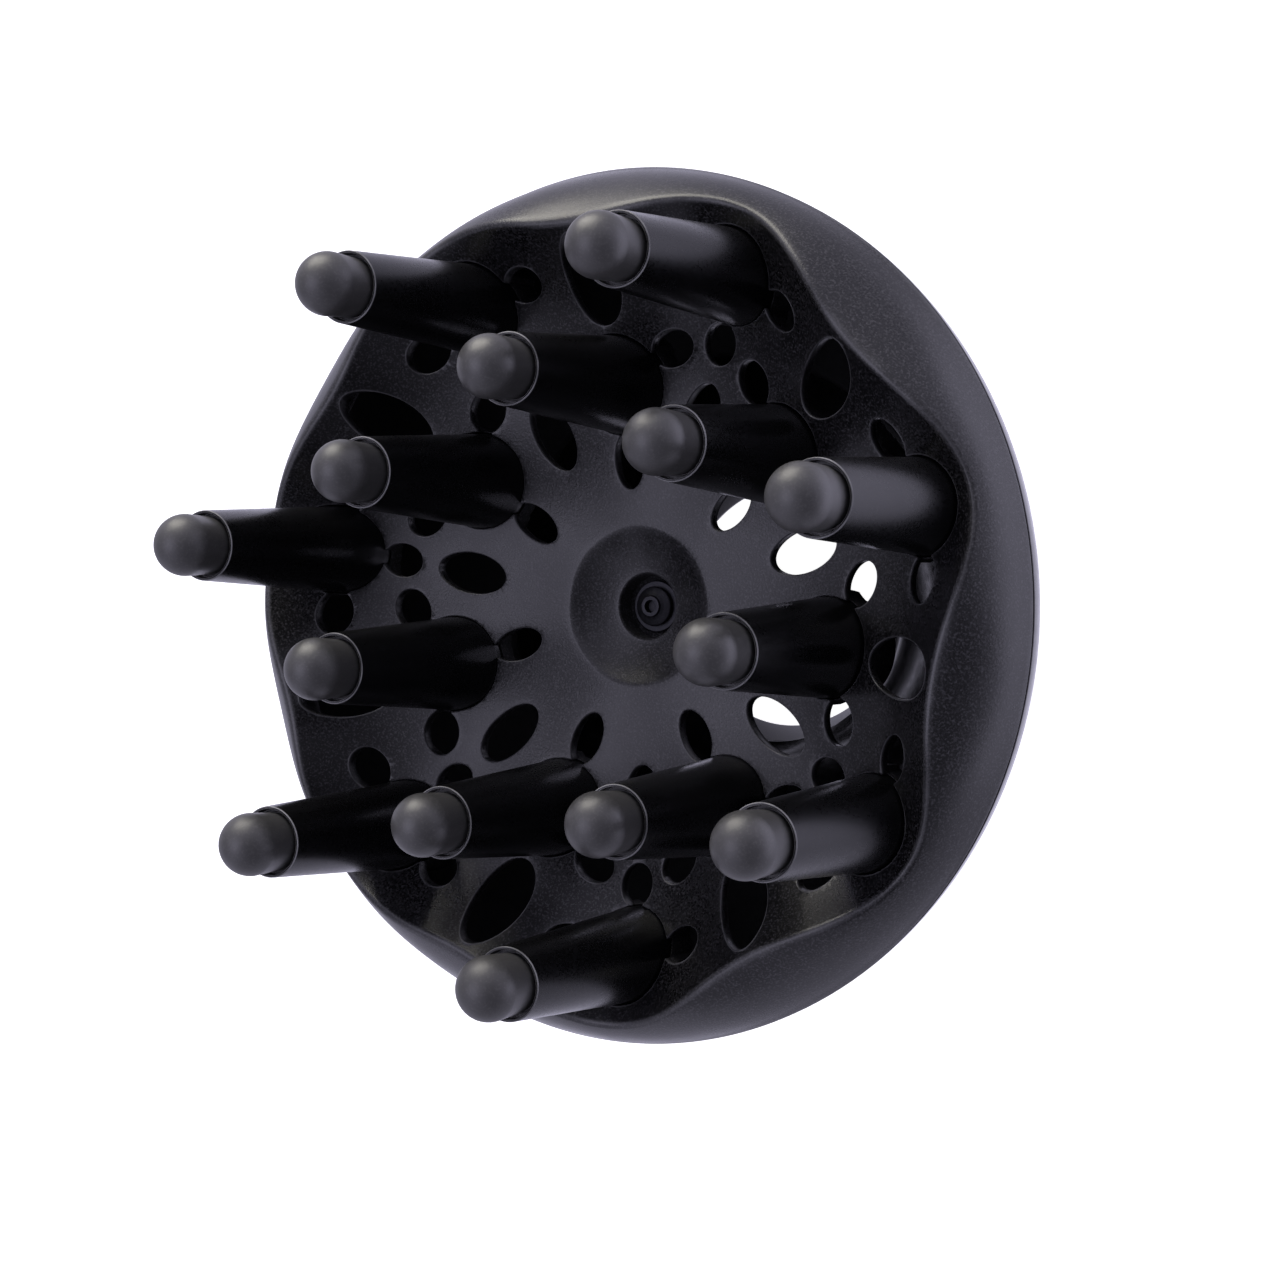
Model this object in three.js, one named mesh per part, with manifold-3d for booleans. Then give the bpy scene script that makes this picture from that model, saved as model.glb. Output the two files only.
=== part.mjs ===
// Diffuser for a hair dryer. A perforated bowl carries two rings of styling fingers with soft
// tips. A trumpet-shaped rear shell leads the air from the collar, which pushes onto the dryer's
// barrel, to the back of the bowl.
// Millimetres. +Z runs along the axis from the collar to the finger tips, and the origin is the
// centre of the collar's rear face. The first finger of the outer ring stands on the -Y side.

import * as THREE from "three";
import { mergeVertices } from "three/addons/utils/BufferGeometryUtils.js";
import Module from "manifold-3d";

const wasm = await Module();
wasm.setup();

// Driving dimensions. Heights named "from the rim" are counted from the seam between the shells.
const LOBES = 7; // fingers in each ring, and waves in the bowl's lip
const PITCH = (2 * Math.PI) / LOBES;
const GAP = 0.3; // between pieces that touch
const WALL = 2.3;
const RIM_RADIUS = 75;
const RIM_HEIGHT = 63.5; // of the seam above the collar's rear face

// The lip swings out and down round each outer finger, and in and up between them.
const LIP = { radius: 67.5, radiusWave: 3.1, height: 12.2, heightWave: -2.3, ripple: -0.6 };

// The bowl's floor rises from the centre as a power of the radius, less steeply in the lobes.
const FLOOR = { height: -4.6, rise: 10.6, wave: 2.5, power: 3.2, reference: 60, blendFrom: 52 };

const DISH = { radius: 13.7, holeRadius: 5.65, holeHeight: -8.1 };
const RECESS = { floor: -12.2, back: -14.2, bossRadius: 8, shankHole: 1.8 };
const SKIRT = { outer: 71.8, inner: 70.5, depth: 2.6 };

// Finger rings. seat and shoulder are heights from the rim; turn is counted in pitches.
const OUTER_RING = { name: "outer", radius: 59.5, turn: 0, foot: 8, seat: -3, shoulder: 40.7 };
const INNER_RING = { name: "inner", radius: 38.35, turn: 0.5, foot: 8.5, seat: -6.8, shoulder: 33.2 };
const FINGER_RINGS = [OUTER_RING, INNER_RING];
const FINGER = { endRadius: 6, wall: 1.6, plug: 3 };
const SEAT = { plate: 1.6, wall: 1.5 };
const TIP = { radius: 5.25, straight: 4.9, socketDepth: 2, stem: 2.1, stemLength: 6.2 };

// Air holes of one lobe: distance from the axis, angle from the outer finger in degrees,
// half-lengths along and across the radius, and turn of the ellipse in degrees.
// A hole with an angle has a twin on the other side of the finger.
const HOLES = [
  { distance: 34.2, angle: 0, along: 6.7, across: 3.6, turn: 0 },
  { distance: 47.9, angle: 0, along: 3.6, across: 3, turn: 0 },
  { distance: 44.9, angle: 10.9, along: 3, across: 4, turn: 31.5 },
  { distance: 58.4, angle: 11.2, along: 2.8, across: 4, turn: 8.5 },
];
// Air holes on the line of the inner finger, between two lobes.
const BETWEEN_HOLES = [
  { distance: 25.2, angle: 0, along: 4.8, across: 2.75, turn: 0 },
  { distance: 55.6, angle: 0, along: 7.4, across: 4.8, turn: 0 },
];

const COLLAR = { outer: 28.6, bore: 26.7, ledge: 25.9, ledgeHeight: 6.5, height: 6.8 };

// The rear shell's outline leaves the collar and the rim at these angles from the axis, in
// degrees, with Bezier handles of these lengths.
const FLARE = { collarAngle: 30, collarHandle: 20, rimAngle: 7, rimHandle: 23, steps: 7 };
const GRIP = { outer: 26.4, mouth: 23.2, top: 25.9, low: 0.6, high: 6.2, lip: 0.7 };
const SPREADER = { radius: 13, top: -14.5, edge: -15.8, tip: -31, wall: 1.6, hub: 3.6 };
const SCREW = { shank: 1.5, head: 3.5, seat: -10.8, top: -8.9, end: -26, drive: 1.15, driveDepth: 1.4 };
const WASHER = { outer: 4.6, inner: 1.8, low: -11.9, high: -11.1 };

const BOWL_SEGMENTS = 8 * LOBES;
const SHELL_SEGMENTS = 8 * LOBES;
const FINGER_SEGMENTS = 12;
const HOLE_SEGMENTS = 10;
const SMALL_SEGMENTS = 12;

const grainedBlack = new THREE.MeshStandardMaterial({ color: 0x26262a, roughness: 0.55 });
const satinBlack = new THREE.MeshStandardMaterial({ color: 0x1b1b1e, roughness: 0.35 });
const glossBlack = new THREE.MeshStandardMaterial({ color: 0x161618, roughness: 0.2 });
const softBlack = new THREE.MeshStandardMaterial({ color: 0x2a2a2d, roughness: 0.75 });
const zincSteel = new THREE.MeshStandardMaterial({ color: 0x55565a, roughness: 0.4, metalness: 1 });

// Shapes

// A closed lathe about +Z. points are [radius, height] pairs, anticlockwise.
function lathe(points, segments) {
  const profile = points.map(([radius, height]) => new THREE.Vector2(radius, height));
  return new THREE.LatheGeometry(profile, segments).rotateX(Math.PI / 2);
}

// A lathe whose rings follow the lobes: each ring is a function of the angle from the first
// outer finger, and gives [radius, height].
function lobedLathe(rings, segments) {
  const blank = rings.map((ring) => new THREE.Vector2(...ring(0)));
  const geometry = new THREE.LatheGeometry(blank, segments);
  const position = geometry.attributes.position;
  for (let s = 0; s <= segments; s++) {
    const angle = (2 * Math.PI * (s % segments)) / segments;
    rings.forEach((ring, i) => {
      const [radius, height] = ring(angle);
      const vertex = s * rings.length + i;
      position.setXYZ(vertex, radius * Math.sin(angle), height, radius * Math.cos(angle));
    });
  }
  return geometry.rotateX(Math.PI / 2);
}

// An upright cylinder between two heights from the rim.
function post(radius, low, high, [x, y]) {
  const geometry = new THREE.CylinderGeometry(radius, radius, high - low, FINGER_SEGMENTS);
  return geometry.rotateX(Math.PI / 2).translate(x, y, RIM_HEIGHT + (low + high) / 2);
}

// A point at a distance from the axis, and an angle from the first outer finger.
function polar(distance, angle) {
  return [distance * Math.sin(angle), -distance * Math.cos(angle)];
}

function toSolid(geometry) {
  const bare = geometry.clone();
  bare.deleteAttribute("normal");
  bare.deleteAttribute("uv");
  const merged = mergeVertices(bare, 1e-4);
  const vertProperties = merged.attributes.position.array;
  const triVerts = new Uint32Array(merged.index.array);
  return new wasm.Manifold(new wasm.Mesh({ numProp: 3, vertProperties, triVerts }));
}

function toGeometry(solid) {
  const { vertProperties, triVerts } = solid.getMesh();
  const geometry = new THREE.BufferGeometry();
  geometry.setAttribute("position", new THREE.BufferAttribute(vertProperties, 3));
  geometry.setIndex(new THREE.BufferAttribute(triVerts, 1));
  geometry.computeVertexNormals();
  return geometry;
}

function join(solids) {
  return solids.reduce((sum, solid) => sum.add(solid));
}

// The bowl

function lipRadius(angle) {
  return LIP.radius + LIP.radiusWave * Math.cos(LOBES * angle);
}

function lipHeight(angle) {
  const wave = LIP.heightWave * Math.cos(LOBES * angle);
  const ripple = LIP.ripple * Math.cos(2 * LOBES * angle);
  return RIM_HEIGHT + LIP.height + wave + ripple;
}

function plainFloor(radius, angle) {
  const rise = FLOOR.rise - FLOOR.wave * Math.cos(LOBES * angle);
  return RIM_HEIGHT + FLOOR.height + rise * (radius / FLOOR.reference) ** FLOOR.power;
}

// Near the lip the floor turns up, so that it ends just below the lip's crest.
function floorHeight(radius, angle) {
  const lip = lipRadius(angle);
  const near = Math.max(0, (radius - FLOOR.blendFrom) / (lip - FLOOR.blendFrom));
  const missing = lipHeight(angle) - 0.35 - plainFloor(lip, angle);
  return plainFloor(radius, angle) + missing * near ** 2;
}

// A point on the dome between the rim (0) and the lip (1), bulging outwards.
function domePoint(share, angle) {
  const lip = lipRadius(angle) + 0.5;
  const top = lipHeight(angle) - 0.25;
  const rim = new THREE.Vector2(RIM_RADIUS, RIM_HEIGHT);
  const bulge = new THREE.Vector2(
    RIM_RADIUS - 0.25 * (RIM_RADIUS - lip),
    RIM_HEIGHT + 0.62 * (top - RIM_HEIGHT),
  );
  const curve = new THREE.QuadraticBezierCurve(rim, bulge, new THREE.Vector2(lip, top));
  return curve.getPoint(share).toArray();
}

function bowlShell() {
  const level = (radius, height) => () => [radius, RIM_HEIGHT + height];
  const under = (radius) => (angle) => [radius, floorHeight(radius, angle) - WALL];
  const over = (radius) => (angle) => [radius, floorHeight(radius, angle)];
  const nearLip = (inset) => (angle) => {
    const radius = lipRadius(angle) - inset;
    return [radius, floorHeight(radius, angle)];
  };
  const rings = [
    level(RECESS.shankHole, RECESS.back),
    level(RECESS.bossRadius, RECESS.back),
    level(RECESS.bossRadius, -10.8),
    ...[DISH.radius + 0.5, 35, 50].map(under),
    (angle) => [lipRadius(angle) - 3.4, floorHeight(lipRadius(angle) - 3.4, angle) - WALL - 0.4],
    (angle) => [lipRadius(angle) - 0.6, lipHeight(angle) - 3.4],
    (angle) => [0.6 * SKIRT.inner + 0.4 * lipRadius(angle), 0.6 * RIM_HEIGHT + 0.4 * lipHeight(angle)],
    level(SKIRT.inner, 0),
    level(SKIRT.inner, -SKIRT.depth),
    level(SKIRT.outer, -SKIRT.depth),
    level(SKIRT.outer, 0),
    ...[0, 0.45, 0.8, 1].map((share) => (angle) => domePoint(share, angle)),
    (angle) => [lipRadius(angle), lipHeight(angle)],
    ...[0.5, 3.5].map(nearLip),
    ...[55, 44, 30, DISH.radius].map(over),
    level(9.8, -7.3),
    level(DISH.holeRadius, DISH.holeHeight),
    level(DISH.holeRadius, RECESS.floor),
    level(RECESS.shankHole, RECESS.floor),
  ];
  return toSolid(lobedLathe([...rings, rings[0]], BOWL_SEGMENTS));
}

// Everything behind the middle of the floor's thickness, which the finger seats are cut from.
function behindFloor() {
  const depth = RIM_HEIGHT - 12;
  const edge = (angle) => lipRadius(angle) - 1.3;
  const middle = (radius) => (angle) => [radius, floorHeight(radius, angle) - WALL / 2];
  const rings = [
    () => [0, depth],
    (angle) => [edge(angle), depth],
    (angle) => middle(edge(angle))(angle),
    ...[50, 35].map(middle),
    () => [0, RIM_HEIGHT + FLOOR.height - WALL / 2],
  ];
  return toSolid(lobedLathe(rings, BOWL_SEGMENTS));
}

function fingerSpots(ring) {
  const spots = [];
  for (let i = 0; i < LOBES; i++) spots.push(polar(ring.radius, (i + ring.turn) * PITCH));
  return spots;
}

function seatPosts() {
  const posts = FINGER_RINGS.flatMap((ring) =>
    fingerSpots(ring).map((spot) => {
      const radius = ring.foot + GAP + SEAT.wall;
      return toSolid(post(radius, ring.seat - SEAT.plate, LIP.height, spot));
    }),
  );
  return join(posts).intersect(behindFloor());
}

function seatPockets() {
  const clear = 30; // past the top of the lip
  return FINGER_RINGS.flatMap((ring) =>
    fingerSpots(ring).map((spot) => toSolid(post(ring.foot + GAP, ring.seat, clear, spot))),
  );
}

// One elliptical air hole through the floor, cut along +Z.
function airHole(hole, angle, side) {
  const turned = angle + THREE.MathUtils.degToRad(hole.angle) * side;
  const ellipse = new THREE.CylinderGeometry(1, 1, 60, HOLE_SEGMENTS).rotateX(Math.PI / 2);
  ellipse.scale(hole.along, hole.across, 1);
  ellipse.rotateZ(THREE.MathUtils.degToRad(hole.turn) * side);
  ellipse.rotateZ(turned - Math.PI / 2);
  ellipse.translate(...polar(hole.distance, turned), RIM_HEIGHT);
  return toSolid(ellipse);
}

function airHoles() {
  const holes = [];
  for (let i = 0; i < LOBES; i++) {
    for (const hole of HOLES) {
      holes.push(airHole(hole, i * PITCH, 1));
      if (hole.angle) holes.push(airHole(hole, i * PITCH, -1));
    }
    for (const hole of BETWEEN_HOLES) holes.push(airHole(hole, (i + 0.5) * PITCH, 1));
  }
  return holes;
}

function bowlGeometry() {
  const cut = join([...seatPockets(), ...airHoles()]);
  return toGeometry(bowlShell().add(seatPosts()).subtract(cut));
}

// A step of the given length, at an angle in degrees from the axis and away from it.
function slanted(angle, length) {
  const turn = THREE.MathUtils.degToRad(angle);
  return new THREE.Vector2(length * Math.sin(turn), length * Math.cos(turn));
}

// The rear shell: a short collar, then a trumpet that flares out to the rim.
function rearShellGeometry() {
  const start = new THREE.Vector2(COLLAR.outer, COLLAR.height);
  const seam = new THREE.Vector2(RIM_RADIUS, RIM_HEIGHT - GAP);
  const outside = new THREE.CubicBezierCurve(
    start,
    slanted(FLARE.collarAngle, FLARE.collarHandle).add(start),
    slanted(FLARE.rimAngle, -FLARE.rimHandle).add(seam),
    seam,
  );
  const outer = [];
  const inner = [];
  for (let i = 0; i <= FLARE.steps; i++) {
    const point = outside.getPoint(i / FLARE.steps);
    const along = outside.getTangent(i / FLARE.steps);
    outer.push(point.toArray());
    inner.unshift([point.x - along.y * WALL, point.y + along.x * WALL]);
  }
  const profile = [
    [COLLAR.bore, 0],
    [COLLAR.outer, 0],
    ...outer,
    [RIM_RADIUS - WALL, seam.y],
    ...inner.slice(1, -1),
    [COLLAR.ledge, COLLAR.ledgeHeight + 1.2],
    [COLLAR.ledge, COLLAR.ledgeHeight],
    [COLLAR.bore, COLLAR.ledgeHeight],
    [COLLAR.bore, 0],
  ];
  return lathe(profile, SHELL_SEGMENTS);
}

// The elastic ring in the collar that grips the dryer's barrel.
function gripRingGeometry() {
  const profile = [
    [GRIP.mouth, GRIP.low],
    [GRIP.outer, GRIP.low],
    [GRIP.outer, GRIP.high],
    [GRIP.top, GRIP.high],
    [GRIP.mouth, GRIP.low + GRIP.lip],
    [GRIP.mouth, GRIP.low],
  ];
  return lathe(profile, SHELL_SEGMENTS);
}

// A hollow, tapered finger. Its foot is a plug that presses into the seat, and its end is a
// socket for the tip.
function fingerGeometry(ring) {
  const length = ring.shoulder - ring.seat - GAP;
  const socket = TIP.radius + GAP;
  const ledge = length - TIP.socketDepth;
  const profile = [
    [ring.foot - FINGER.wall, 0],
    [ring.foot, 0],
    [ring.foot, FINGER.plug],
    [FINGER.endRadius, length],
    [socket, length],
    [socket, ledge],
    [TIP.stem + GAP, ledge],
    [FINGER.endRadius - FINGER.wall, ledge - 2],
    [ring.foot - FINGER.wall, 0],
  ];
  return lathe(profile, FINGER_SEGMENTS);
}

// A soft tip: a round cap on a stem that pushes into the finger's end. Height 0 is the shoulder.
function tipGeometry() {
  const foot = GAP - TIP.socketDepth;
  const cap = [];
  for (let i = 0; i < 3; i++) {
    const lift = (i * Math.PI) / 6;
    cap.push([TIP.radius * Math.cos(lift), TIP.straight + TIP.radius * Math.sin(lift)]);
  }
  const profile = [
    [0, -TIP.stemLength],
    [TIP.stem, -TIP.stemLength],
    [TIP.stem, foot],
    [TIP.radius, foot],
    ...cap,
    [0, TIP.straight + TIP.radius],
  ];
  return lathe(profile, FINGER_SEGMENTS);
}

// The cone behind the bowl's centre, which spreads the jet of air. It hangs on the centre screw.
function spreaderGeometry() {
  const profile = [
    [0, SPREADER.tip],
    [3.5, SPREADER.tip + 1.2],
    [SPREADER.radius, SPREADER.edge],
    [SPREADER.radius, SPREADER.top],
    [SPREADER.radius - SPREADER.wall, SPREADER.top],
    [SPREADER.hub + 0.6, SPREADER.tip + 4],
    [SPREADER.hub, SPREADER.tip + 4],
    [SPREADER.hub, SPREADER.top],
    [SCREW.shank + GAP, SPREADER.top],
    [SCREW.shank + GAP, SCREW.end - 1],
    [0, SCREW.end - 1],
  ];
  return lathe(profile, SMALL_SEGMENTS);
}

function screwGeometry() {
  const profile = [
    [0, SCREW.end],
    [SCREW.shank, SCREW.end + 1.4],
    [SCREW.shank, SCREW.seat],
    [SCREW.head, SCREW.seat],
    [SCREW.head, SCREW.seat + 0.7],
    [2.7, SCREW.top - 0.35],
    [1.9, SCREW.top],
    [SCREW.drive, SCREW.top],
    [SCREW.drive, SCREW.top - SCREW.driveDepth],
    [0, SCREW.top - SCREW.driveDepth],
  ];
  return lathe(profile, SMALL_SEGMENTS);
}

function washerGeometry() {
  const profile = [
    [WASHER.inner, WASHER.low],
    [WASHER.outer, WASHER.low],
    [WASHER.outer, WASHER.high],
    [WASHER.inner, WASHER.high],
    [WASHER.inner, WASHER.low],
  ];
  return lathe(profile, SMALL_SEGMENTS);
}

// The assembly

function part(name, geometry, material) {
  const mesh = new THREE.Mesh(geometry, material);
  mesh.name = name;
  return mesh;
}

// One finger and its tip, on a group that stands at the finger's place.
function fingerWithTip(ring, index) {
  const finger = part(`finger_${ring.name}_${index + 1}`, fingerGeometry(ring), satinBlack);
  finger.position.z = ring.seat + GAP;
  const tip = part(`tip_${ring.name}_${index + 1}`, tipGeometry(), softBlack);
  tip.position.z = ring.shoulder;
  const place = new THREE.Group();
  place.add(finger, tip);
  place.position.set(...fingerSpots(ring)[index], 0);
  place.rotation.z = (index + ring.turn) * PITCH;
  return place;
}

const group = new THREE.Group();
group.add(part("bowl", bowlGeometry(), grainedBlack));
group.add(part("rear_shell", rearShellGeometry(), glossBlack));
group.add(part("grip_ring", gripRingGeometry(), softBlack));

// Pieces whose heights are counted from the rim.
const front = new THREE.Group();
front.position.z = RIM_HEIGHT;
front.add(part("air_spreader", spreaderGeometry(), glossBlack));
front.add(part("centre_screw", screwGeometry(), zincSteel));
front.add(part("screw_washer", washerGeometry(), zincSteel));
for (const ring of FINGER_RINGS) {
  for (let i = 0; i < LOBES; i++) front.add(fingerWithTip(ring, i));
}
group.add(front);

export default group;
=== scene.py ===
"""Looks of the hair dryer diffuser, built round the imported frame.

Shapes are given in millimetres and made in metres. +Z runs along the axis from the collar to the
finger tips. Angles are counted from the first outer finger, which stands on the -Y side.
"""

import math

import bmesh
import bpy
from mathutils import Matrix, Vector
from mathutils.geometry import delaunay_2d_cdt


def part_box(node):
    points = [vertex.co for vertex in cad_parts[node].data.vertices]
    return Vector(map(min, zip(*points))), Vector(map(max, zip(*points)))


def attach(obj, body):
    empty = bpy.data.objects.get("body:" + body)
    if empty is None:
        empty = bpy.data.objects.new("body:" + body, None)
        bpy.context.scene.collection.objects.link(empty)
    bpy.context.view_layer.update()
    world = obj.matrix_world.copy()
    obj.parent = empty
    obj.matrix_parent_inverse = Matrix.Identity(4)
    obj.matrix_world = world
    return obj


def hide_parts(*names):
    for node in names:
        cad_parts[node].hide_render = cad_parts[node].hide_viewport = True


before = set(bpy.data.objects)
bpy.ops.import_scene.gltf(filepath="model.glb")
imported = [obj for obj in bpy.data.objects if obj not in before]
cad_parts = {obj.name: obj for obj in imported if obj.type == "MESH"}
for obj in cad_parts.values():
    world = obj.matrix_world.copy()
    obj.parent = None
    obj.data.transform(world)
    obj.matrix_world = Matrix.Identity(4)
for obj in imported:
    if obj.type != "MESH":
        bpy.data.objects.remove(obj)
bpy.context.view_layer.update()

MM = 0.001
LOBES = 7
PITCH = 2 * math.pi / LOBES
GAP = 0.3
WALL = 2.3


def low(node):
    """Lowest corner of a CAD node, in millimetres."""
    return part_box(node)[0] / MM


def high(node):
    """Highest corner of a CAD node, in millimetres."""
    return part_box(node)[1] / MM


RIM = Vector((high("rear_shell").x, high("rear_shell").z + GAP))  # radius and height of the seam

# Heights below are counted from the rim unless a comment says otherwise.
LIP_RADIUS = 67.5
LIP_RADIUS_WAVE = 3.1
LIP_HEIGHT = 12.2
LIP_HEIGHT_WAVE = -2.3
LIP_RIPPLE = -0.6
CREST = 0.8  # width over which the lip's edge is rounded
RIM_ROUNDING = 0.5

FLOOR_HEIGHT = -4.6
FLOOR_RISE = 10.6
FLOOR_WAVE = 2.5
FLOOR_POWER = 3.2
FLOOR_REFERENCE = 60
FLOOR_BLEND_FROM = 52

DISH_RADIUS = 13.7
DISH_EDGE = 0.4
DISH_BEND = Vector((10.2, -6.9))  # radius and height that the dish's slope bends towards
RECESS_RADIUS = 5.65
RECESS_RIM = -8.1
RECESS_FLOOR = -12.2
RECESS_ROUNDING = 0.4
SCREW_HOLE_RADIUS = 1.8
BOSS_RADIUS = 8
BOSS_BOTTOM = RECESS_FLOOR - 2.0
SKIRT_OUTER = 71.8
SKIRT_INNER = 70.5
SKIRT_DEPTH = 2.6
UNPOLISHED_FROM = 48  # radius past which the inside of the rear shell is unpolished

HOLE_ROUNDING = 0.3
SEAT_GAP = 0.16
SEAT_PLATE = 1.6
SEAT_WALL = 0.9
SEAT_OVERLAP = 0.5  # how far a seat's wall reaches into the floor

# Wear and painted highlight of an edge or a face: 1 is rubbed light with a painted highlight, 0 is
# as moulded, and below 0 is unpolished.
FULL_WEAR_AND_HIGHLIGHT = 1.0
SEAM_WEAR_AND_HIGHLIGHT = 0.6
CREST_WEAR_AND_HIGHLIGHT = 0.4
FAINT_WEAR_AND_HIGHLIGHT = 0.1
INSIDE = -1.0

# Air holes of one lobe, as distance from the axis, angle from the outer finger in degrees,
# half-lengths along and across the radius, and turn of the ellipse in degrees.
LOBE_HOLES = (
    (34.2, 0, 6.7, 3.6, 0),
    (47.9, 0, 3.6, 3.0, 0),
    (44.9, 10.9, 3.0, 4.0, 31.5),
    (58.4, 11.2, 2.8, 4.0, 8.5),
)
# Air holes on the line of the inner finger.
BETWEEN_HOLES = (
    (25.2, 0, 4.8, 2.75, 0),
    (55.6, 0, 7.3, 4.8, 0),
)

FOOT_RADIUS = {"outer": 8.0, "inner": 8.5}
FINGER_END = 6.0
FINGER_WALL = 1.6
FINGER_PLUG = 3.0
TIP_RADIUS = 5.25
TIP_STEM = 2.1
SOCKET_DEPTH = 2.0

# Spacing of the floor's points, and numbers of points round each outline.
FLOOR_STEP = 1.15
LIP_COUNT = 48 * LOBES
DISH_COUNT = 24 * LOBES
HOLE_COUNT = 56
SEAT_COUNT = 72
ROUND_COUNT = 96

STUDIO_TINT = (1.03, 1.0, 1.27)
STAGE_HALF = 4.0
# Places on the table, in metres: a bright one beside the object and a paler one under it.
BRIGHT_SPOT = (-0.36, -0.26, 0.0)
PALE_SPOT = (0.035, 0.016, 0.0)
SKY_LEVEL = 0.8
# Patches of the sky: azimuth and elevation in degrees, reach of its full and its last effect in
# degrees, and what it adds to the sky's strength.
SKY = (
    (-172, 42, 22, 60, -0.6),
    (-140, -5, 10, 35, 0.35),
    (120, -5, 25, 60, -0.4),
    (25, 71, 8, 25, 1.25),
    (25, 20, 15, 40, -0.45),
)


# Outlines


def polar(distance, angle):
    return Vector((distance * math.sin(angle), -distance * math.cos(angle)))


def bezier(start, control, end, steps):
    """Points of a quadratic curve, both ends included."""
    points = []
    for i in range(steps + 1):
        t = i / steps
        points.append(start * (1 - t) ** 2 + control * 2 * t * (1 - t) + end * t**2)
    return points


def rounded(corners, steps=5):
    """A closed outline of (radius, height, rounding) corners, as (radius, height, wear and
    highlight) points.

    Tight corners are worn and get a painted highlight. A fourth value gives the wear and painted
    highlight of a corner that isn't rounded.
    """
    outline = []
    for i, (radius, height, rounding, *wear_and_highlight) in enumerate(corners):
        here = Vector((radius, height))
        before = Vector(corners[i - 1][:2]) - here
        after = Vector(corners[(i + 1) % len(corners)][:2]) - here
        if not rounding:
            outline.append((radius, height, wear_and_highlight[0] if wear_and_highlight else 0.0))
            continue
        half = before.angle(after) / 2
        reach = min(rounding / math.tan(half), 0.45 * before.length, 0.45 * after.length)
        start = here + before.normalized() * reach
        end = here + after.normalized() * reach
        for j, point in enumerate(bezier(start, here, end, steps)):
            worn_and_highlit = FULL_WEAR_AND_HIGHLIGHT if 0 < j < steps and rounding < 1 else 0.0
            outline.append((point.x, point.y, worn_and_highlit))
    return outline


# Meshes


class Builder:
    """Collects the vertices and faces of one piece, with the wear and painted highlight of each
    vertex.
    """

    def __init__(self):
        self.points = []
        self.faces = []
        self.wear_and_highlight = []

    def ring(self, points, wear_and_highlight=0.0):
        first = len(self.points)
        self.points += [tuple(point) for point in points]
        self.wear_and_highlight += [wear_and_highlight] * len(points)
        return list(range(first, len(self.points)))

    def bridge(self, ring_a, ring_b):
        """Quads between two closed rings, or triangles where one of them is a single point."""
        count = max(len(ring_a), len(ring_b))
        for i in range(count):
            j = (i + 1) % count
            corners = [ring_a[i % len(ring_a)], ring_a[j % len(ring_a)]]
            corners += [ring_b[j % len(ring_b)], ring_b[i % len(ring_b)]]
            face = tuple(dict.fromkeys(corners))
            if len(face) > 2:
                self.faces.append(face)

    def chain(self, rings, closed=False):
        for ring_a, ring_b in zip(rings, rings[1:]):
            self.bridge(ring_a, ring_b)
        if closed:
            self.bridge(rings[-1], rings[0])

    def piece(self, name, material, slot):
        """The finished object, riding on the frame's only body."""
        mesh = bpy.data.meshes.new(name)
        mesh.from_pydata([Vector(point) * MM for point in self.points], [], self.faces)
        work = bmesh.new()
        work.from_mesh(mesh)
        bmesh.ops.recalc_face_normals(work, faces=work.faces)
        work.to_mesh(mesh)
        work.free()
        wear_and_highlight = mesh.attributes.new("wear_and_highlight", "FLOAT", "POINT")
        wear_and_highlight.data.foreach_set("value", self.wear_and_highlight)
        mesh.shade_smooth()
        mesh.set_sharp_from_angle(angle=math.radians(38))
        mesh.materials.append(material)
        piece = bpy.data.objects.new(name, mesh)
        bpy.context.scene.collection.objects.link(piece)
        normals = piece.modifiers.new("weighted normals", "WEIGHTED_NORMAL")
        normals.keep_sharp = True
        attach(piece, "root")
        return piece


def turn(builder, outline, centre=(0, 0), base=0.0, count=ROUND_COUNT):
    """Adds a closed outline of (radius, height, wear and highlight) points, turned about an upright
    axis.
    """
    rings = []
    for radius, height, worn_and_highlit in outline:
        sides = count if radius > 1e-6 else 1
        points = []
        for i in range(sides):
            x, y = polar(radius, 2 * math.pi * i / count)
            points.append((centre[0] + x, centre[1] + y, base + height))
        rings.append(builder.ring(points, worn_and_highlit))
    builder.chain(rings, closed=outline[0][0] > 1e-6 or outline[-1][0] > 1e-6)


# Materials


def add_node(tree, kind, **settings):
    node = tree.nodes.new(kind)
    for name, value in settings.items():
        setattr(node, name, value)
    return node


def set_inputs(node, **values):
    for name, value in values.items():
        node.inputs[name.replace("_", " ")].default_value = value
    return node


def noise(tree, size, detail=2.0):
    """Noise whose blobs are about size millimetres across, fixed in the object's frame."""
    place = add_node(tree, "ShaderNodeTexCoord")
    texture = set_inputs(add_node(tree, "ShaderNodeTexNoise"), Scale=1 / (size * MM), Detail=detail)
    tree.links.new(place.outputs["Object"], texture.inputs["Vector"])
    return texture.outputs["Fac"]


def remap(tree, value, low_in, high_in, low_out, high_out):
    node = set_inputs(
        add_node(tree, "ShaderNodeMapRange"),
        From_Min=low_in, From_Max=high_in, To_Min=low_out, To_Max=high_out,
    )
    tree.links.new(value, node.inputs["Value"])
    return node.outputs["Result"]


def mix_colour(tree, factor, first, second):
    node = add_node(tree, "ShaderNodeMix", data_type="RGBA")
    tree.links.new(factor, node.inputs["Factor"])
    for socket, value in ((node.inputs[6], first), (node.inputs[7], second)):
        if isinstance(value, tuple):
            socket.default_value = (*value, 1.0)
        else:
            tree.links.new(value, socket)
    return node.outputs[2]


def combine(tree, operation, first, second):
    node = add_node(tree, "ShaderNodeMath", operation=operation)
    tree.links.new(first, node.inputs[0])
    tree.links.new(second, node.inputs[1])
    return node.outputs[0]


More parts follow.
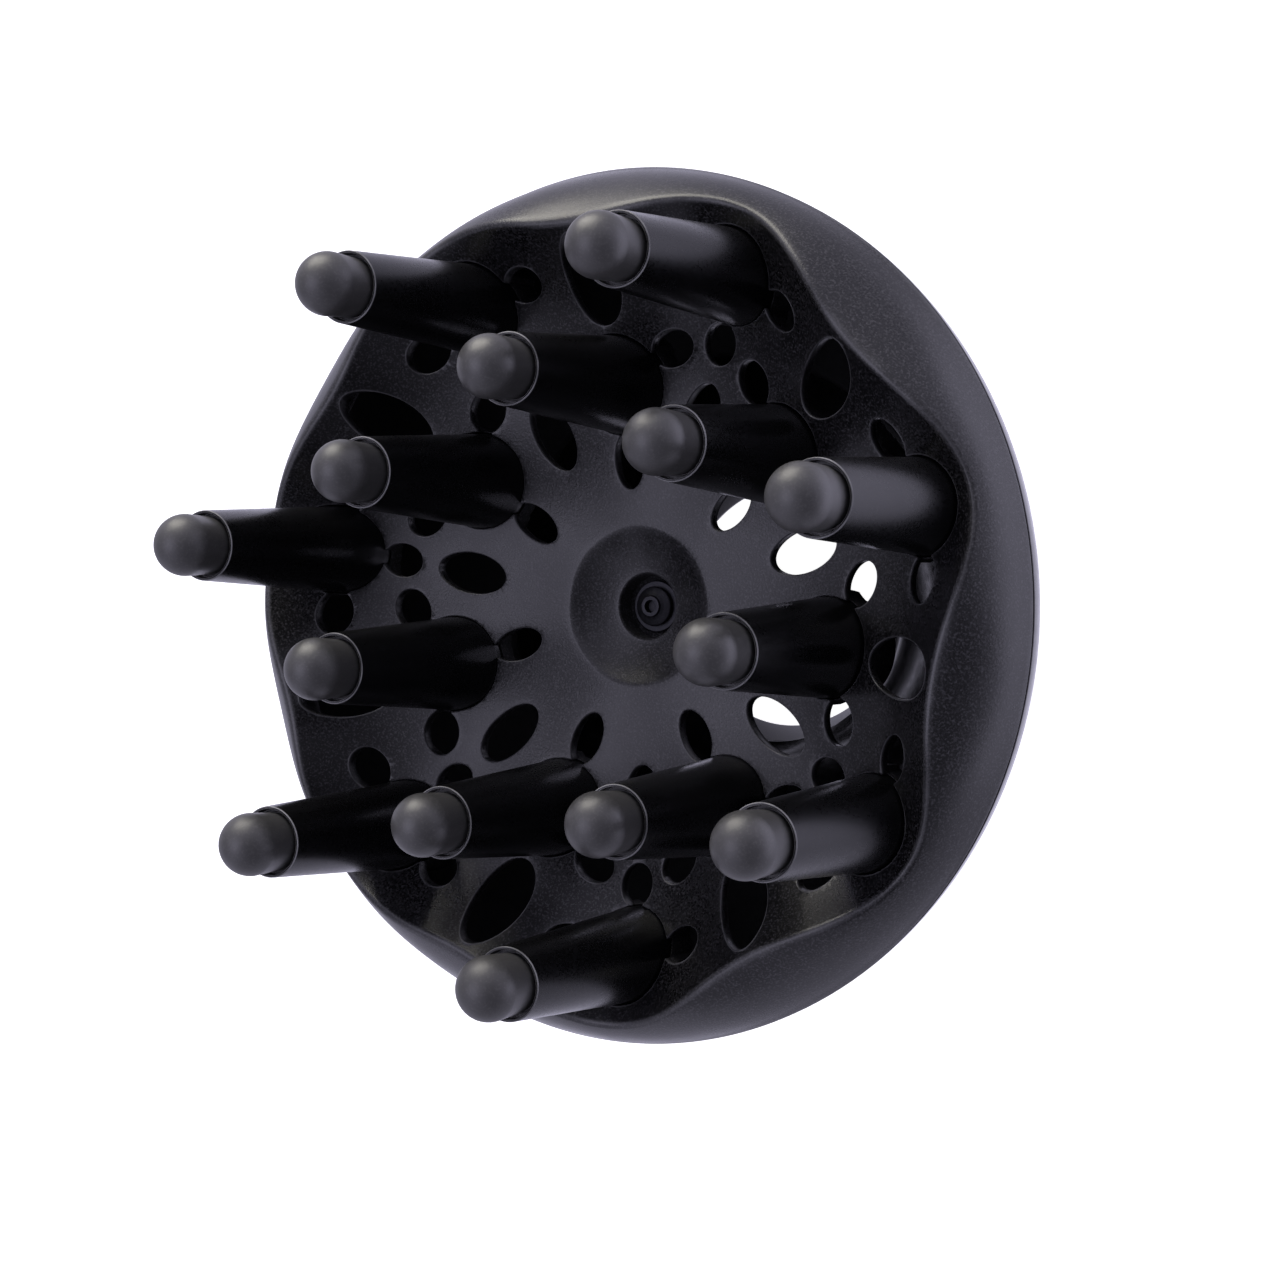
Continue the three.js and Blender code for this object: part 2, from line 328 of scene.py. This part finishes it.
def distance_from(tree, place):
    """How far each point of an object is from a place in its frame, in metres."""
    coordinates = add_node(tree, "ShaderNodeTexCoord")
    away = add_node(tree, "ShaderNodeVectorMath", operation="DISTANCE")
    tree.links.new(coordinates.outputs["Object"], away.inputs[0])
    away.inputs[1].default_value = place
    return away.outputs["Value"]


def moulded(name, colour, fleck, worn_and_highlit, roughness, grain, depth, specular=0.5, metallic=0.0):
    """A moulded surface: grain with flecks, patches of uneven roughness, and edges rubbed lighter,
    which also paints their highlights.

    grain is the size of its grains and depth their height, in millimetres.
    """
    material = bpy.data.materials.new(name)
    material.use_nodes = True
    tree = material.node_tree
    shader = tree.nodes["Principled BSDF"]
    shader.inputs["Specular IOR Level"].default_value = specular
    shader.inputs["Metallic"].default_value = metallic
    grains = noise(tree, grain)
    flecks = mix_colour(tree, remap(tree, grains, 0.5, 0.72, 0, 1), colour, fleck)
    wear_and_highlight = add_node(tree, "ShaderNodeAttribute", attribute_name="wear_and_highlight").outputs["Fac"]
    patchy = remap(tree, noise(tree, 6), 0.35, 0.65, 0.3, 1)
    surface = mix_colour(tree, combine(tree, "MULTIPLY", wear_and_highlight, patchy), flecks, worn_and_highlit)
    tree.links.new(surface, shader.inputs["Base Color"])
    uneven = 0.04
    patches = remap(tree, noise(tree, 14, 3.0), 0.3, 0.7, roughness - uneven, roughness + uneven)
    fine = remap(tree, grains, 0.3, 0.7, -uneven, uneven)
    unpolished = remap(tree, wear_and_highlight, INSIDE, 0, 0.6, 0)
    rough = combine(tree, "ADD", combine(tree, "ADD", patches, fine), unpolished)
    tree.links.new(rough, shader.inputs["Roughness"])
    bump = set_inputs(add_node(tree, "ShaderNodeBump"), Strength=1.0, Distance=depth * MM)
    tree.links.new(grains, bump.inputs["Height"])
    tree.links.new(bump.outputs["Normal"], shader.inputs["Normal"])
    return material


# Each worn colour below is partly rubbing and partly a painted highlight on rounded edges.
BLACK = (0.003, 0.003, 0.0033)
# Its worn colour paints the thin highlights along the lip's crest and round the holes' rims, on top
# of rubbing.
GRAINED = moulded(
    "grained_black",
    colour=BLACK,
    fleck=(0.045, 0.044, 0.047),
    worn_and_highlit=(0.08, 0.08, 0.083),
    roughness=0.31,
    grain=0.36,
    depth=0.03,
    specular=0.46,
)
# Its worn colour paints the bright highlight ring round each finger's end.
SATIN = moulded(
    "satin_black",
    colour=BLACK,
    fleck=(0.005, 0.005, 0.0055),
    worn_and_highlit=(0.25, 0.25, 0.25),
    roughness=0.3,
    grain=0.5,
    depth=0.003,
    specular=0.33,
)
GLOSS = moulded(
    "gloss_black",
    colour=BLACK,
    fleck=(0.004, 0.004, 0.0045),
    worn_and_highlit=(0.01, 0.01, 0.011),
    roughness=0.16,
    grain=1.2,
    depth=0.002,
)
SOFT = moulded(
    "soft_black",
    colour=(0.04, 0.0396, 0.0378),
    fleck=(0.058, 0.057, 0.054),
    worn_and_highlit=(0.06, 0.06, 0.058),
    roughness=0.43,
    grain=0.4,
    depth=0.014,
    specular=0.6,
)
# Its worn colour paints the highlight ring on the screw's head.
STEEL = moulded(
    "dark_steel",
    colour=(0.03, 0.03, 0.033),
    fleck=(0.045, 0.045, 0.05),
    worn_and_highlit=(0.075, 0.074, 0.085),
    roughness=0.5,
    grain=0.3,
    depth=0.004,
    metallic=1.0,
)


# The bowl


def lip_radius(angle):
    return LIP_RADIUS + LIP_RADIUS_WAVE * math.cos(LOBES * angle)


def lip_height(angle):
    wave = LIP_HEIGHT_WAVE * math.cos(LOBES * angle)
    return LIP_HEIGHT + wave + LIP_RIPPLE * math.cos(2 * LOBES * angle)


def plain_floor(radius, angle):
    rise = FLOOR_RISE - FLOOR_WAVE * math.cos(LOBES * angle)
    return FLOOR_HEIGHT + rise * (radius / FLOOR_REFERENCE) ** FLOOR_POWER


def crest(angle):
    """The corner that the rounding of the lip's edge starts from."""
    return Vector((lip_radius(angle) + 0.1, lip_height(angle) + 0.3))


def floor_height(radius, angle):
    corner = crest(angle)
    near = max(0.0, (radius - FLOOR_BLEND_FROM) / (corner.x - FLOOR_BLEND_FROM))
    return plain_floor(radius, angle) + (corner.y - plain_floor(corner.x, angle)) * near**2


def dome_point(share, angle):
    """A point on the dome, between the rim (0) and the lip's corner (1)."""
    corner = crest(angle)
    bulge = Vector((RIM.x - 0.25 * (RIM.x - corner.x), 0.62 * corner.y))
    rim = Vector((RIM.x, 0.0))
    return rim * (1 - share) ** 2 + bulge * 2 * share * (1 - share) + corner * share**2


class Outline:
    """An ellipse in the floor's plan: an air hole, or a finger's seat."""

    def __init__(self, centre, along, across, heading, count):
        self.centre = centre
        self.along = along
        self.across = across
        self.heading = heading
        self.count = count

    def points(self):
        ring = []
        for i in range(self.count):
            t = 2 * math.pi * i / self.count
            local = Vector((self.along * math.cos(t), self.across * math.sin(t)))
            ring.append(self.centre + Matrix.Rotation(self.heading, 2) @ local)
        return ring

    def holds(self, point, margin=0.0):
        """True where point is inside the ellipse, or within margin of it."""
        local = Matrix.Rotation(-self.heading, 2) @ (point - self.centre)
        along = self.along + margin
        across = self.across + margin
        return (local.x / along) ** 2 + (local.y / across) ** 2 < 1


def air_holes():
    outlines = []
    for i in range(LOBES):
        for row, turned in ((LOBE_HOLES, i * PITCH), (BETWEEN_HOLES, (i + 0.5) * PITCH)):
            for distance, offset, along, across, turn_degrees in row:
                for side in (1, -1) if offset else (1,):
                    angle = turned + math.radians(offset) * side
                    heading = angle - math.pi / 2 + math.radians(turn_degrees) * side
                    grown = (along + HOLE_ROUNDING, across + HOLE_ROUNDING)
                    outlines.append(Outline(polar(distance, angle), *grown, heading, HOLE_COUNT))
    return outlines


class Finger:
    """Where one finger stands and how large it is, read from its CAD node."""

    def __init__(self, ring, number):
        self.name = f"{ring}_{number}"
        node_low, node_high = low(f"finger_{self.name}"), high(f"finger_{self.name}")
        turned = (number - 1 + (0.5 if ring == "inner" else 0.0)) * PITCH
        distance = ((node_low + node_high) / 2).xy.length
        self.centre = polar(distance, turned)
        self.foot = FOOT_RADIUS[ring]
        self.base = node_low.z
        self.length = node_high.z - node_low.z
        self.shoulder = node_high.z
        self.tip_top = high(f"tip_{self.name}").z
        self.tip_low = low(f"tip_{self.name}").z

    def seat(self):
        radius = self.foot + SEAT_GAP + HOLE_ROUNDING / 2
        return Outline(self.centre, radius, radius, 0.0, SEAT_COUNT)


FINGERS = [Finger(ring, i + 1) for ring in ("outer", "inner") for i in range(LOBES)]


def floor_plan(openings):
    """The floor seen from above: its points, its triangles, and the loops at the lip and dish."""
    lip_loop = []
    for i in range(LIP_COUNT):
        angle = 2 * math.pi * i / LIP_COUNT
        lip_loop.append(polar(lip_radius(angle) - CREST, angle))
    dish_loop = [
        polar(DISH_RADIUS + DISH_EDGE, 2 * math.pi * i / DISH_COUNT) for i in range(DISH_COUNT)
    ]
    loops = [lip_loop, dish_loop] + [opening.points() for opening in openings]
    points, loop_faces = [], []
    for loop in loops:
        loop_faces.append(list(range(len(points), len(points) + len(loop))))
        points += loop
    points += free_points(openings)
    made, _, triangles, origins, _, face_origins = delaunay_2d_cdt(
        points, [], loop_faces, 0, 1e-5, True
    )
    kept = [face for face, origin in zip(triangles, face_origins) if list(origin) == [0]]
    placed = {source: i for i, sources in enumerate(origins) for source in sources}
    lip_ring = [placed[i] for i in loop_faces[0]]
    dish_ring = [placed[i] for i in loop_faces[1]]
    return made, kept, lip_ring, dish_ring


def free_points(openings):
    """Even points over the floor, clear of every opening's edge."""
    clear = 0.55 * FLOOR_STEP
    inside = DISH_RADIUS + DISH_EDGE
    span = LIP_RADIUS - inside
    levels = round(span / FLOOR_STEP)
    points = []
    for level in range(1, levels):
        share = level / levels
        sides = LOBES * round(2 * math.pi * (inside + span * share) / FLOOR_STEP / LOBES)
        for i in range(sides):
            angle = 2 * math.pi * (i + 0.5 * (level % 2)) / sides
            edge = lip_radius(angle) - CREST
            point = polar(inside + (edge - inside) * share, angle)
            if not any(opening.holds(point, clear) for opening in openings):
                points.append(point)
    return points


def opening_loops(triangles, taken):
    """Loops of vertices round the openings, the void on their right, without the taken ones."""
    edges = {(face[i], face[(i + 1) % 3]) for face in triangles for i in range(3)}
    following = {a: b for a, b in edges if (b, a) not in edges and a not in taken}
    loops = []
    while following:
        start, step = following.popitem()
        loop = [start]
        while step != start:
            loop.append(step)
            step = following.pop(step)
        loops.append(loop)
    return loops


def inward(points, loop):
    """Unit steps from each vertex of a loop into the void beside it."""
    steps = []
    for i, vertex in enumerate(loop):
        before = (points[vertex] - points[loop[i - 1]]).normalized()
        after = (points[loop[(i + 1) % len(loop)]] - points[vertex]).normalized()
        along = (before + after).normalized()
        steps.append(Vector((along.y, -along.x)))
    return steps


def wall_rings(builder, points, loop, sheet_top, sheet_bottom):
    """The rounded wall of one opening, between the floor's top and underside."""
    steps = inward(points, loop)
    rings = [[sheet_top[vertex] for vertex in loop]]
    turns = [math.radians(22.5 * i) for i in range(1, 5)]
    # The rounded rims carry wear and a painted highlight; the walls below are unpolished.
    downs = [(math.sin(t), HOLE_ROUNDING * (1 - math.cos(t)), FULL_WEAR_AND_HIGHLIGHT) for t in turns]
    ups = [(sine, WALL - depth, INSIDE) for sine, depth, _ in reversed(downs)]
    for sine, depth, worn_and_highlit in downs + ups:
        places = []
        for vertex, step in zip(loop, steps):
            x, y = points[vertex] + step * HOLE_ROUNDING * sine
            top = builder.points[sheet_top[vertex]][2]
            places.append((x, y, top - depth))
        rings.append(builder.ring(places, worn_and_highlit))
    rings.append([sheet_bottom[vertex] for vertex in loop])
    builder.chain(rings)


def lip_rings(builder, angles):
    """Rings over the lip's edge, down the dome, round the rim and back up the inside."""

    def ring(place, worn_and_highlit=0.0):
        points = []
        for angle in angles:
            radius, height = place(angle)
            points.append((*polar(radius, angle), RIM.y + height))
        return builder.ring(points, worn_and_highlit)

    def over_crest(share):
        def place(angle):
            start_radius = lip_radius(angle) - CREST
            start = Vector((start_radius, floor_height(start_radius, angle)))
            end = dome_point(0.9, angle)
            corner = crest(angle)
            return start * (1 - share) ** 2 + corner * 2 * share * (1 - share) + end * share**2
        return place

    # The crest's wear paints the lip's thin highlight line as well as rubbing.
    rings = [
        ring(over_crest(i / 8), CREST_WEAR_AND_HIGHLIGHT if 1 < i < 7 else FAINT_WEAR_AND_HIGHLIGHT) for i in range(1, 9)
    ]
    rings += [ring(lambda angle, s=i / 14: dome_point(s, angle)) for i in range(12, 0, -1)]
    edge = bezier(
        Vector((RIM.x, RIM_ROUNDING)),
        Vector((RIM.x, 0.0)),
        Vector((RIM.x - RIM_ROUNDING, 0.0)),
        4,
    )
    # The rim's rounded edge carries wear and a painted highlight.
    rings += [ring(lambda angle, p=p: p, SEAM_WEAR_AND_HIGHLIGHT) for p in edge]
    inside = (
        (SKIRT_OUTER, 0.0),
        (SKIRT_OUTER, -SKIRT_DEPTH),
        (SKIRT_INNER, -SKIRT_DEPTH),
        (SKIRT_INNER, 0.0),
    )
    rings += [ring(lambda angle, p=p: p) for p in inside]
    rings.append(ring(lambda angle: dome_point(0.4, angle) - Vector((3.4, 0.4))))
    rings.append(ring(lambda angle: Vector((lip_radius(angle) - 0.2, lip_height(angle) - 3.4))))
    return rings


def dish_rings(builder, angles):
    """Rings from the floor into the dish and the screw's recess, and back along the underside."""
    level = FLOOR_HEIGHT + 0.08
    edge = Vector((DISH_RADIUS, level))
    slope = bezier(edge, DISH_BEND, Vector((RECESS_RADIUS + RECESS_ROUNDING, RECESS_RIM)), 10)
    entry = bezier(Vector((DISH_RADIUS + DISH_EDGE, level)), edge, slope[1], 4)
    brim = bezier(
        slope[-1],
        Vector((RECESS_RADIUS, RECESS_RIM)),
        Vector((RECESS_RADIUS, RECESS_RIM - RECESS_ROUNDING)),
        4,
    )
    foot = bezier(
        Vector((RECESS_RADIUS, RECESS_FLOOR + RECESS_ROUNDING)),
        Vector((RECESS_RADIUS, RECESS_FLOOR)),
        Vector((RECESS_RADIUS - RECESS_ROUNDING, RECESS_FLOOR)),
        4,
    )
    outline = [(*point, FAINT_WEAR_AND_HIGHLIGHT) for point in entry[1:]]
    outline += [(*point, 0.0) for point in slope[2:]]
    outline += [(*point, INSIDE) for point in brim[1:] + foot]
    outline += [
        (SCREW_HOLE_RADIUS, RECESS_FLOOR, INSIDE),
        (SCREW_HOLE_RADIUS, BOSS_BOTTOM, 0.0),
        (BOSS_RADIUS - 0.3, BOSS_BOTTOM, 0.0),
        (BOSS_RADIUS, BOSS_BOTTOM + 0.3, 0.0),
        (BOSS_RADIUS, -10.8, 0.0),
    ]
    rings = []
    for radius, height, worn_and_highlit in outline:
        points = [(*polar(radius, angle), RIM.y + height) for angle in angles]
        rings.append(builder.ring(points, worn_and_highlit))
    return rings


def seat_cup(builder, finger, holes):
    """The cup under the floor that a finger's foot presses into, cut back where a hole passes."""
    inner = finger.foot + SEAT_GAP + 0.02
    thinnest = 0.15
    step = 0.1
    bottom = finger.base - GAP
    spokes = [polar(1.0, 2 * math.pi * i / SEAT_COUNT) for i in range(SEAT_COUNT)]
    reaches = []
    for spoke in spokes:
        reach = inner + thinnest
        while reach < inner + SEAT_WALL:
            if any(hole.holds(finger.centre + spoke * (reach + step)) for hole in holes):
                break
            reach += step
        reaches.append(reach)

    def under_floor(point):
        angle = math.atan2(point.x, -point.y)
        radius = min(point.length, lip_radius(angle) - 0.4)
        return RIM.y + floor_height(radius, angle) - WALL + SEAT_OVERLAP

    def ring(radii, height=None):
        points = []
        for spoke, radius in zip(spokes, radii):
            place = finger.centre + spoke * radius
            points.append((*place, under_floor(place) if height is None else height))
        return builder.ring(points, INSIDE)

    def middle(height):
        return builder.ring([(*finger.centre, height)], INSIDE)

    insides = [inner] * SEAT_COUNT
    brim = ring(insides)
    under = bottom - SEAT_PLATE
    outer_faces = [brim, ring(reaches), ring(reaches, under), middle(under)]
    inner_faces = [middle(bottom), ring(insides, bottom), brim]
    builder.chain(outer_faces)
    builder.chain(inner_faces)


def make_bowl():
    builder = Builder()
    holes = air_holes()
    plan, triangles, lip_ring, dish_ring = floor_plan(holes + [f.seat() for f in FINGERS])
    used = sorted({vertex for face in triangles for vertex in face})
    heights = {}
    for vertex in used:
        x, y = plan[vertex]
        heights[vertex] = RIM.y + floor_height(math.hypot(x, y), math.atan2(x, -y))
    top = dict(zip(used, builder.ring([(*plan[v], heights[v]) for v in used])))
    underside = [(*plan[v], heights[v] - WALL) for v in used]
    bottom = dict(zip(used, builder.ring(underside, INSIDE)))
    builder.faces += [tuple(top[v] for v in face) for face in triangles]
    builder.faces += [tuple(bottom[v] for v in reversed(face)) for face in triangles]
    for loop in opening_loops(triangles, set(lip_ring + dish_ring)):
        wall_rings(builder, plan, loop, top, bottom)
    for ring, between in ((lip_ring, lip_rings), (dish_ring, dish_rings)):
        angles = [2 * math.pi * i / len(ring) for i in range(len(ring))]
        middle = between(builder, angles)
        builder.chain([[top[v] for v in ring]] + middle + [[bottom[v] for v in ring]])
    for finger in FINGERS:
        seat_cup(builder, finger, holes)
    piece = builder.piece("bowl_moulding", GRAINED, "grained_black")
    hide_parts("bowl")


# The rear shell and what is in it


def slanted(degrees, length):
    """A step of that length at an angle from the axis, away from it."""
    return Vector((math.sin(math.radians(degrees)), math.cos(math.radians(degrees)))) * length


def make_rear_shell():
    start = Vector((28.6, 6.8))  # radius and height above the collar's face, as all that follows
    seam = Vector((RIM.x, RIM.y - GAP))
    handles = (start, start + slanted(30, 20), seam - slanted(7, 23), seam)
    outer, inner = [], []
    steps = 40
    for i in range(1, steps + 1):
        t = i / steps
        weights = ((1 - t) ** 3, 3 * (1 - t) ** 2 * t, 3 * (1 - t) * t**2, t**3)
        point = sum((handle * w for handle, w in zip(handles, weights)), Vector((0, 0)))
        slopes = (3 * (1 - t) ** 2, 6 * (1 - t) * t, 3 * t**2)
        spans = [b - a for a, b in zip(handles, handles[1:])]
        along = sum((span * w for span, w in zip(spans, slopes)), Vector((0, 0))).normalized()
        outer.append((point.x, point.y, 0))
        unpolished = INSIDE if point.x > UNPOLISHED_FROM else 0.0
        inner.append((point.x - along.y * WALL, point.y + along.x * WALL, 0, unpolished))
    inner.reverse()
    corners = [(26.7, 0, 0.4), (start.x, 0, 0.5), (start.x, start.y, 3.0)]
    corners += outer[:-1]
    corners += [(seam.x, seam.y, 0.3), (seam.x - WALL, seam.y, 0.3)]
    corners += inner[1:]
    corners += [(25.9, 7.7, 0.3), (25.9, 6.5, 0.2), (26.7, 6.5, 0)]
    builder = Builder()
    turn(builder, rounded(corners), count=2 * ROUND_COUNT)
    piece = builder.piece("rear_shell_moulding", GLOSS, "gloss_black")
    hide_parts("rear_shell")


def make_grip_ring():
    corners = [
        (23.2, 0.6, 0.3),
        (26.4, 0.6, 0.3),
        (26.4, 6.2, 0.3),
        (25.9, 6.2, 0.2),
        (23.2, 1.3, 0.4),
    ]
    builder = Builder()
    turn(builder, rounded(corners), count=2 * ROUND_COUNT)
    piece = builder.piece("grip_ring_soft", SOFT, "soft_black")
    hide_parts("grip_ring")


def make_spreader():
    tip = low("air_spreader").z
    top = high("air_spreader").z
    radius = high("air_spreader").x
    corners = [
        (0, tip, 0),
        (3.5, tip + 1.2, 3.0),
        (radius, top - 1.3, 0.4),
        (radius, top, 0.3),
        (radius - 1.6, top, 0.3),
        (4.2, tip + 4, 0.3),
        (3.6, tip + 4, 0.3),
        (3.6, top, 0.3),
        (1.8, top, 0.2),
        (1.8, tip + 4, 0),
        (0, tip + 4, 0),
    ]
    builder = Builder()
    turn(builder, rounded(corners))
    piece = builder.piece("air_spreader_moulding", GLOSS, "gloss_black")
    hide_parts("air_spreader")


def make_screw():
    end = low("centre_screw").z
    top = high("centre_screw").z
    seat = top - 1.9
    radius = high("centre_screw").x
    corners = [
        (0, end, 0),
        (1.5, end + 1.4, 0.3),
        (1.5, seat, 0),
        (radius, seat, 0.15),
        (radius, seat + 0.6, 1.0),
        (2.4, top - 0.75, 1.0),
        # These tight corners carry the worn colour, which paints the highlight ring on the head.
        (1.95, top - 0.45, 0.3),
        (1.75, top, 0.15),
        (1.1, top, 0.15),
        (1.05, top - 1.4, 0.1),
        (0, top - 1.6, 0),
    ]
    builder = Builder()
    turn(builder, rounded(corners))
    piece = builder.piece("centre_screw_turned", STEEL, "dark_steel")
    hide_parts("centre_screw")


def make_washer():
    base = low("screw_washer").z
    top = high("screw_washer").z
    radius = high("screw_washer").x
    corners = [
        (1.8, base, 0),
        (radius, base, 0),
        (radius, top - 0.2, 0),
        (radius - 0.25, top, 0),
        (1.8, top, 0),
    ]
    builder = Builder()
    turn(builder, rounded(corners))
    piece = builder.piece("screw_washer_pressed", STEEL, "dark_steel")
    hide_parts("screw_washer")


# Fingers and tips


def make_finger(finger):
    socket = TIP_RADIUS + GAP
    ledge = finger.length - SOCKET_DEPTH
    corners = [
        (finger.foot - FINGER_WALL, 0, 0.3),
        (finger.foot, 0, 0.4),
        (finger.foot, FINGER_PLUG, 4.0),
        # The wear on this tight rounding paints the bright highlight ring round the finger's end.
        (FINGER_END, finger.length, 0.42),
        (socket, finger.length, 0.1),
        (socket, ledge, 0.2),
        (TIP_STEM + GAP, ledge, 0.2),
        (FINGER_END - FINGER_WALL, ledge - 2, 0.5),
    ]
    builder = Builder()
    turn(builder, rounded(corners), finger.centre, finger.base)
    piece = builder.piece(f"finger_{finger.name}_moulding", SATIN, "satin_black")
    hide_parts(f"finger_{finger.name}")


def make_tip(finger):
    centre = finger.tip_top - TIP_RADIUS  # height of the round end's centre
    foot = finger.shoulder - SOCKET_DEPTH + GAP
    corners = [
        (0, finger.tip_low, 0),
        (TIP_STEM, finger.tip_low, 0.4),
        (TIP_STEM, foot, 0.1),
        (TIP_RADIUS, foot, 0.2),
    ]
    outline = rounded(corners)
    steps = 18
    for i in range(steps + 1):
        lift = math.pi / 2 * i / steps
        outline.append((TIP_RADIUS * math.cos(lift), centre + TIP_RADIUS * math.sin(lift), 0.0))
    outline[-1] = (0, finger.tip_top, 0.0)
    builder = Builder()
    turn(builder, outline, finger.centre)
    piece = builder.piece(f"tip_{finger.name}_soft", SOFT, "soft_black")
    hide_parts(f"tip_{finger.name}")


# The studio


def glowing(name, tint):
    """A matt material that glows in that tint, with its tree and its shader."""
    material = bpy.data.materials.new(name)
    material.use_nodes = True
    shader = material.node_tree.nodes["Principled BSDF"]
    shader.inputs["Roughness"].default_value = 0.8
    shader.inputs["Emission Color"].default_value = (*tint, 1)
    return material, material.node_tree, shader


def make_sheet(name, material):
    """A square of the stage, level with the collar's face."""
    mesh = bpy.data.meshes.new(name)
    sides = ((-1, -1), (1, -1), (1, 1), (-1, 1))
    corners = [(x * STAGE_HALF, y * STAGE_HALF, 0.0) for x, y in sides]
    mesh.from_pydata(corners, [], [(0, 1, 2, 3)])
    mesh.materials.append(material)
    sheet = bpy.data.objects.new(name, mesh)
    bpy.context.scene.collection.objects.link(sheet)
    return sheet


def make_stage():
    """A white floor, and in its place a dimmer table that only reflections show."""
    material, tree, shader = glowing("white_floor", (1, 1, 1))
    shade = mix_colour(tree, noise(tree, 400), (0.8, 0.8, 0.8), (0.84, 0.84, 0.84))
    tree.links.new(shade, shader.inputs["Base Color"])
    shader.inputs["Emission Strength"].default_value = 1.0
    floor = make_sheet("studio_floor", material)
    floor.visible_glossy = False
    floor.visible_diffuse = False
    material, tree, shader = glowing("table", STUDIO_TINT)
    shader.inputs["Base Color"].default_value = (0.5, 0.5, 0.5, 1)
    bright = remap(tree, distance_from(tree, BRIGHT_SPOT), 0.24, 0.36, 1.6, 0.3)
    pale = remap(tree, distance_from(tree, PALE_SPOT), 0.07, 0.15, 0.8, 0.0)
    collar_shade = remap(tree, distance_from(tree, (0, 0, 0)), 0.014, 0.022, 0.0, 1.0)
    light = combine(tree, "MULTIPLY", combine(tree, "ADD", bright, pale), collar_shade)
    tree.links.new(light, shader.inputs["Emission Strength"])
    table = make_sheet("studio_table", material)
    table.visible_camera = False
    table.visible_diffuse = False


def lobe(tree, direction, azimuth, elevation, inner, outer, amount):
    """A soft patch of the sky: amount within inner degrees of its middle, nothing past outer."""
    azimuth, elevation = math.radians(azimuth), math.radians(elevation)
    level = math.cos(elevation)
    middle = (level * math.cos(azimuth), level * math.sin(azimuth), math.sin(elevation))
    facing = add_node(tree, "ShaderNodeVectorMath", operation="DOT_PRODUCT")
    tree.links.new(direction, facing.inputs[0])
    facing.inputs[1].default_value = middle
    edge, full = math.cos(math.radians(outer)), math.cos(math.radians(inner))
    return remap(tree, facing.outputs["Value"], edge, full, 0.0, amount)


def make_world():
    """A pale studio: dark on the side that the bowl is seen from, bright low down beside it."""
    world = bpy.data.worlds.new("studio")
    world.use_nodes = True
    tree = world.node_tree
    direction = add_node(tree, "ShaderNodeTexCoord").outputs["Generated"]
    level = add_node(tree, "ShaderNodeValue")
    level.outputs[0].default_value = SKY_LEVEL
    strength = level.outputs[0]
    for patch in SKY:
        strength = combine(tree, "ADD", strength, lobe(tree, direction, *patch))
    background = tree.nodes["Background"]
    background.inputs["Color"].default_value = (*STUDIO_TINT, 1)
    tree.links.new(strength, background.inputs["Strength"])
    bpy.context.scene.world = world


def make_key_light():
    """A warm lamp low beside the bowl, aimed at the middle of its rim."""
    place = Vector((0.667, -0.715, 0.27))
    aim = Vector((0, 0, RIM.y * MM))
    data = bpy.data.lights.new("key", "AREA")
    data.size = 0.7
    data.energy = 9
    data.color = (1.0, 0.96, 0.84)
    light = bpy.data.objects.new("key", data)
    light.location = place
    light.rotation_euler = (aim - place).to_track_quat("-Z", "Y").to_euler()
    bpy.context.scene.collection.objects.link(light)


def make_camera():
    """The camera looks down into the bowl, rolled so that the axis points left in the picture."""
    position = Vector((-203.07, -87.47, 430.24)) * MM
    forward = Vector((0.4646, 0.2124, -0.8597)).normalized()
    up = Vector((0.3961, -0.9181, -0.0128))
    right = forward.cross(up).normalized()
    up = right.cross(forward)
    axes = Matrix((right, up, -forward)).transposed()
    data = bpy.data.cameras.new("camera")
    data.sensor_fit = "HORIZONTAL"
    data.sensor_width = 36
    data.lens = 70.06
    data.clip_start = 0.01
    data.clip_end = 20
    camera = bpy.data.objects.new("camera", data)
    camera.matrix_world = Matrix.Translation(position) @ axes.to_4x4()
    bpy.context.scene.collection.objects.link(camera)
    bpy.context.scene.camera = camera


make_camera()
make_bowl()
make_rear_shell()
make_grip_ring()
make_spreader()
make_screw()
make_washer()
for finger in FINGERS:
    make_finger(finger)
    make_tip(finger)
make_stage()
make_world()
make_key_light()
bpy.context.scene.view_settings.view_transform = "Standard"
